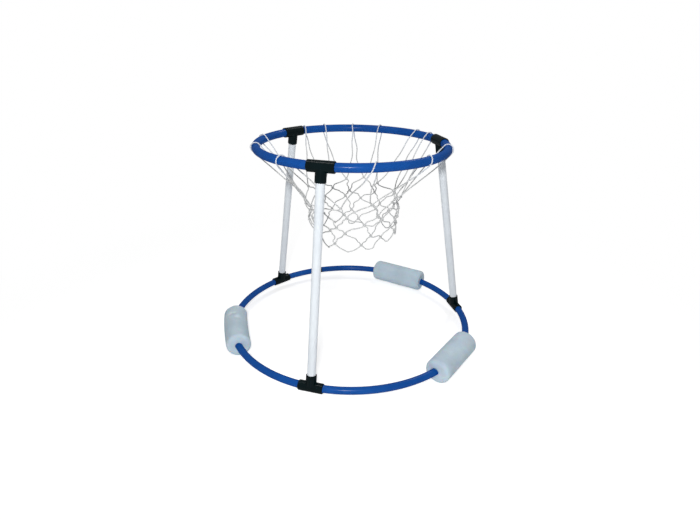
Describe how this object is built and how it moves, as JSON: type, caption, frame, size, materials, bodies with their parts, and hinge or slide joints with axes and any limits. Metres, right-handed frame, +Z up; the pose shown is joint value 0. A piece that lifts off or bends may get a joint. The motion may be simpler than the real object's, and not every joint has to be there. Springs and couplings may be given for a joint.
{
  "type": "floating pool basketball goal",
  "caption": "Pool basketball goal that floats: a tube hoop with a knotted net on leaning legs, over a wider base ring threaded through sliding foam floats",
  "frame": {"origin": "Centre of the rings, on the surface that the floats rest on", "axes": "+Z up, -Y towards the front leg, +X to the right as seen from the front leg"},
  "size_m": [0.8654, 0.8572, 0.6609],
  "materials": {
    "tube_blue": "smooth moulded pipe with a soft gloss",
    "fitting_black": "smooth moulded fitting with a soft gloss",
    "leg_white": "smooth white pipe with a soft gloss",
    "float_foam": "matt closed-cell foam",
    "net_cord": "twisted cord"
  },
  "bodies": {
    "frame": {"base_arc_left": "tube_blue", "base_arc_right": "tube_blue", "base_arc_back": "tube_blue", "base_arc_back_short": "tube_blue", "base_joiner": "fitting_black", "base_tee_front": "fitting_black", "base_tee_right": "fitting_black", "base_tee_left": "fitting_black", "leg_front": "leg_white", "leg_right": "leg_white", "leg_left": "leg_white", "hoop_tee_front": "fitting_black", "hoop_tee_right": "fitting_black", "hoop_tee_left": "fitting_black", "hoop_arc_left": "tube_blue", "hoop_arc_right": "tube_blue", "hoop_arc_back": "tube_blue", "net": "net_cord"},
    "left_float": {"float_left": "float_foam"},
    "right_float": {"float_right": "float_foam"},
    "back_float": {"float_back": "float_foam"}
  },
  "joints": [
    {"name": "left_float_slide", "type": "hinge", "parent": "frame", "child": "left_float", "pos_m": [0, 0, 0.0395], "axis": [0, 0, 1], "range_deg": [-38, 40]},
    {"name": "right_float_slide", "type": "hinge", "parent": "frame", "child": "right_float", "pos_m": [0, 0, 0.0395], "axis": [0, 0, 1], "range_deg": [-49, 29]},
    {"name": "back_float_slide", "type": "hinge", "parent": "frame", "child": "back_float", "pos_m": [0, 0, 0.0395], "axis": [0, 0, 1], "range_deg": [-24, 54]}
  ]
}
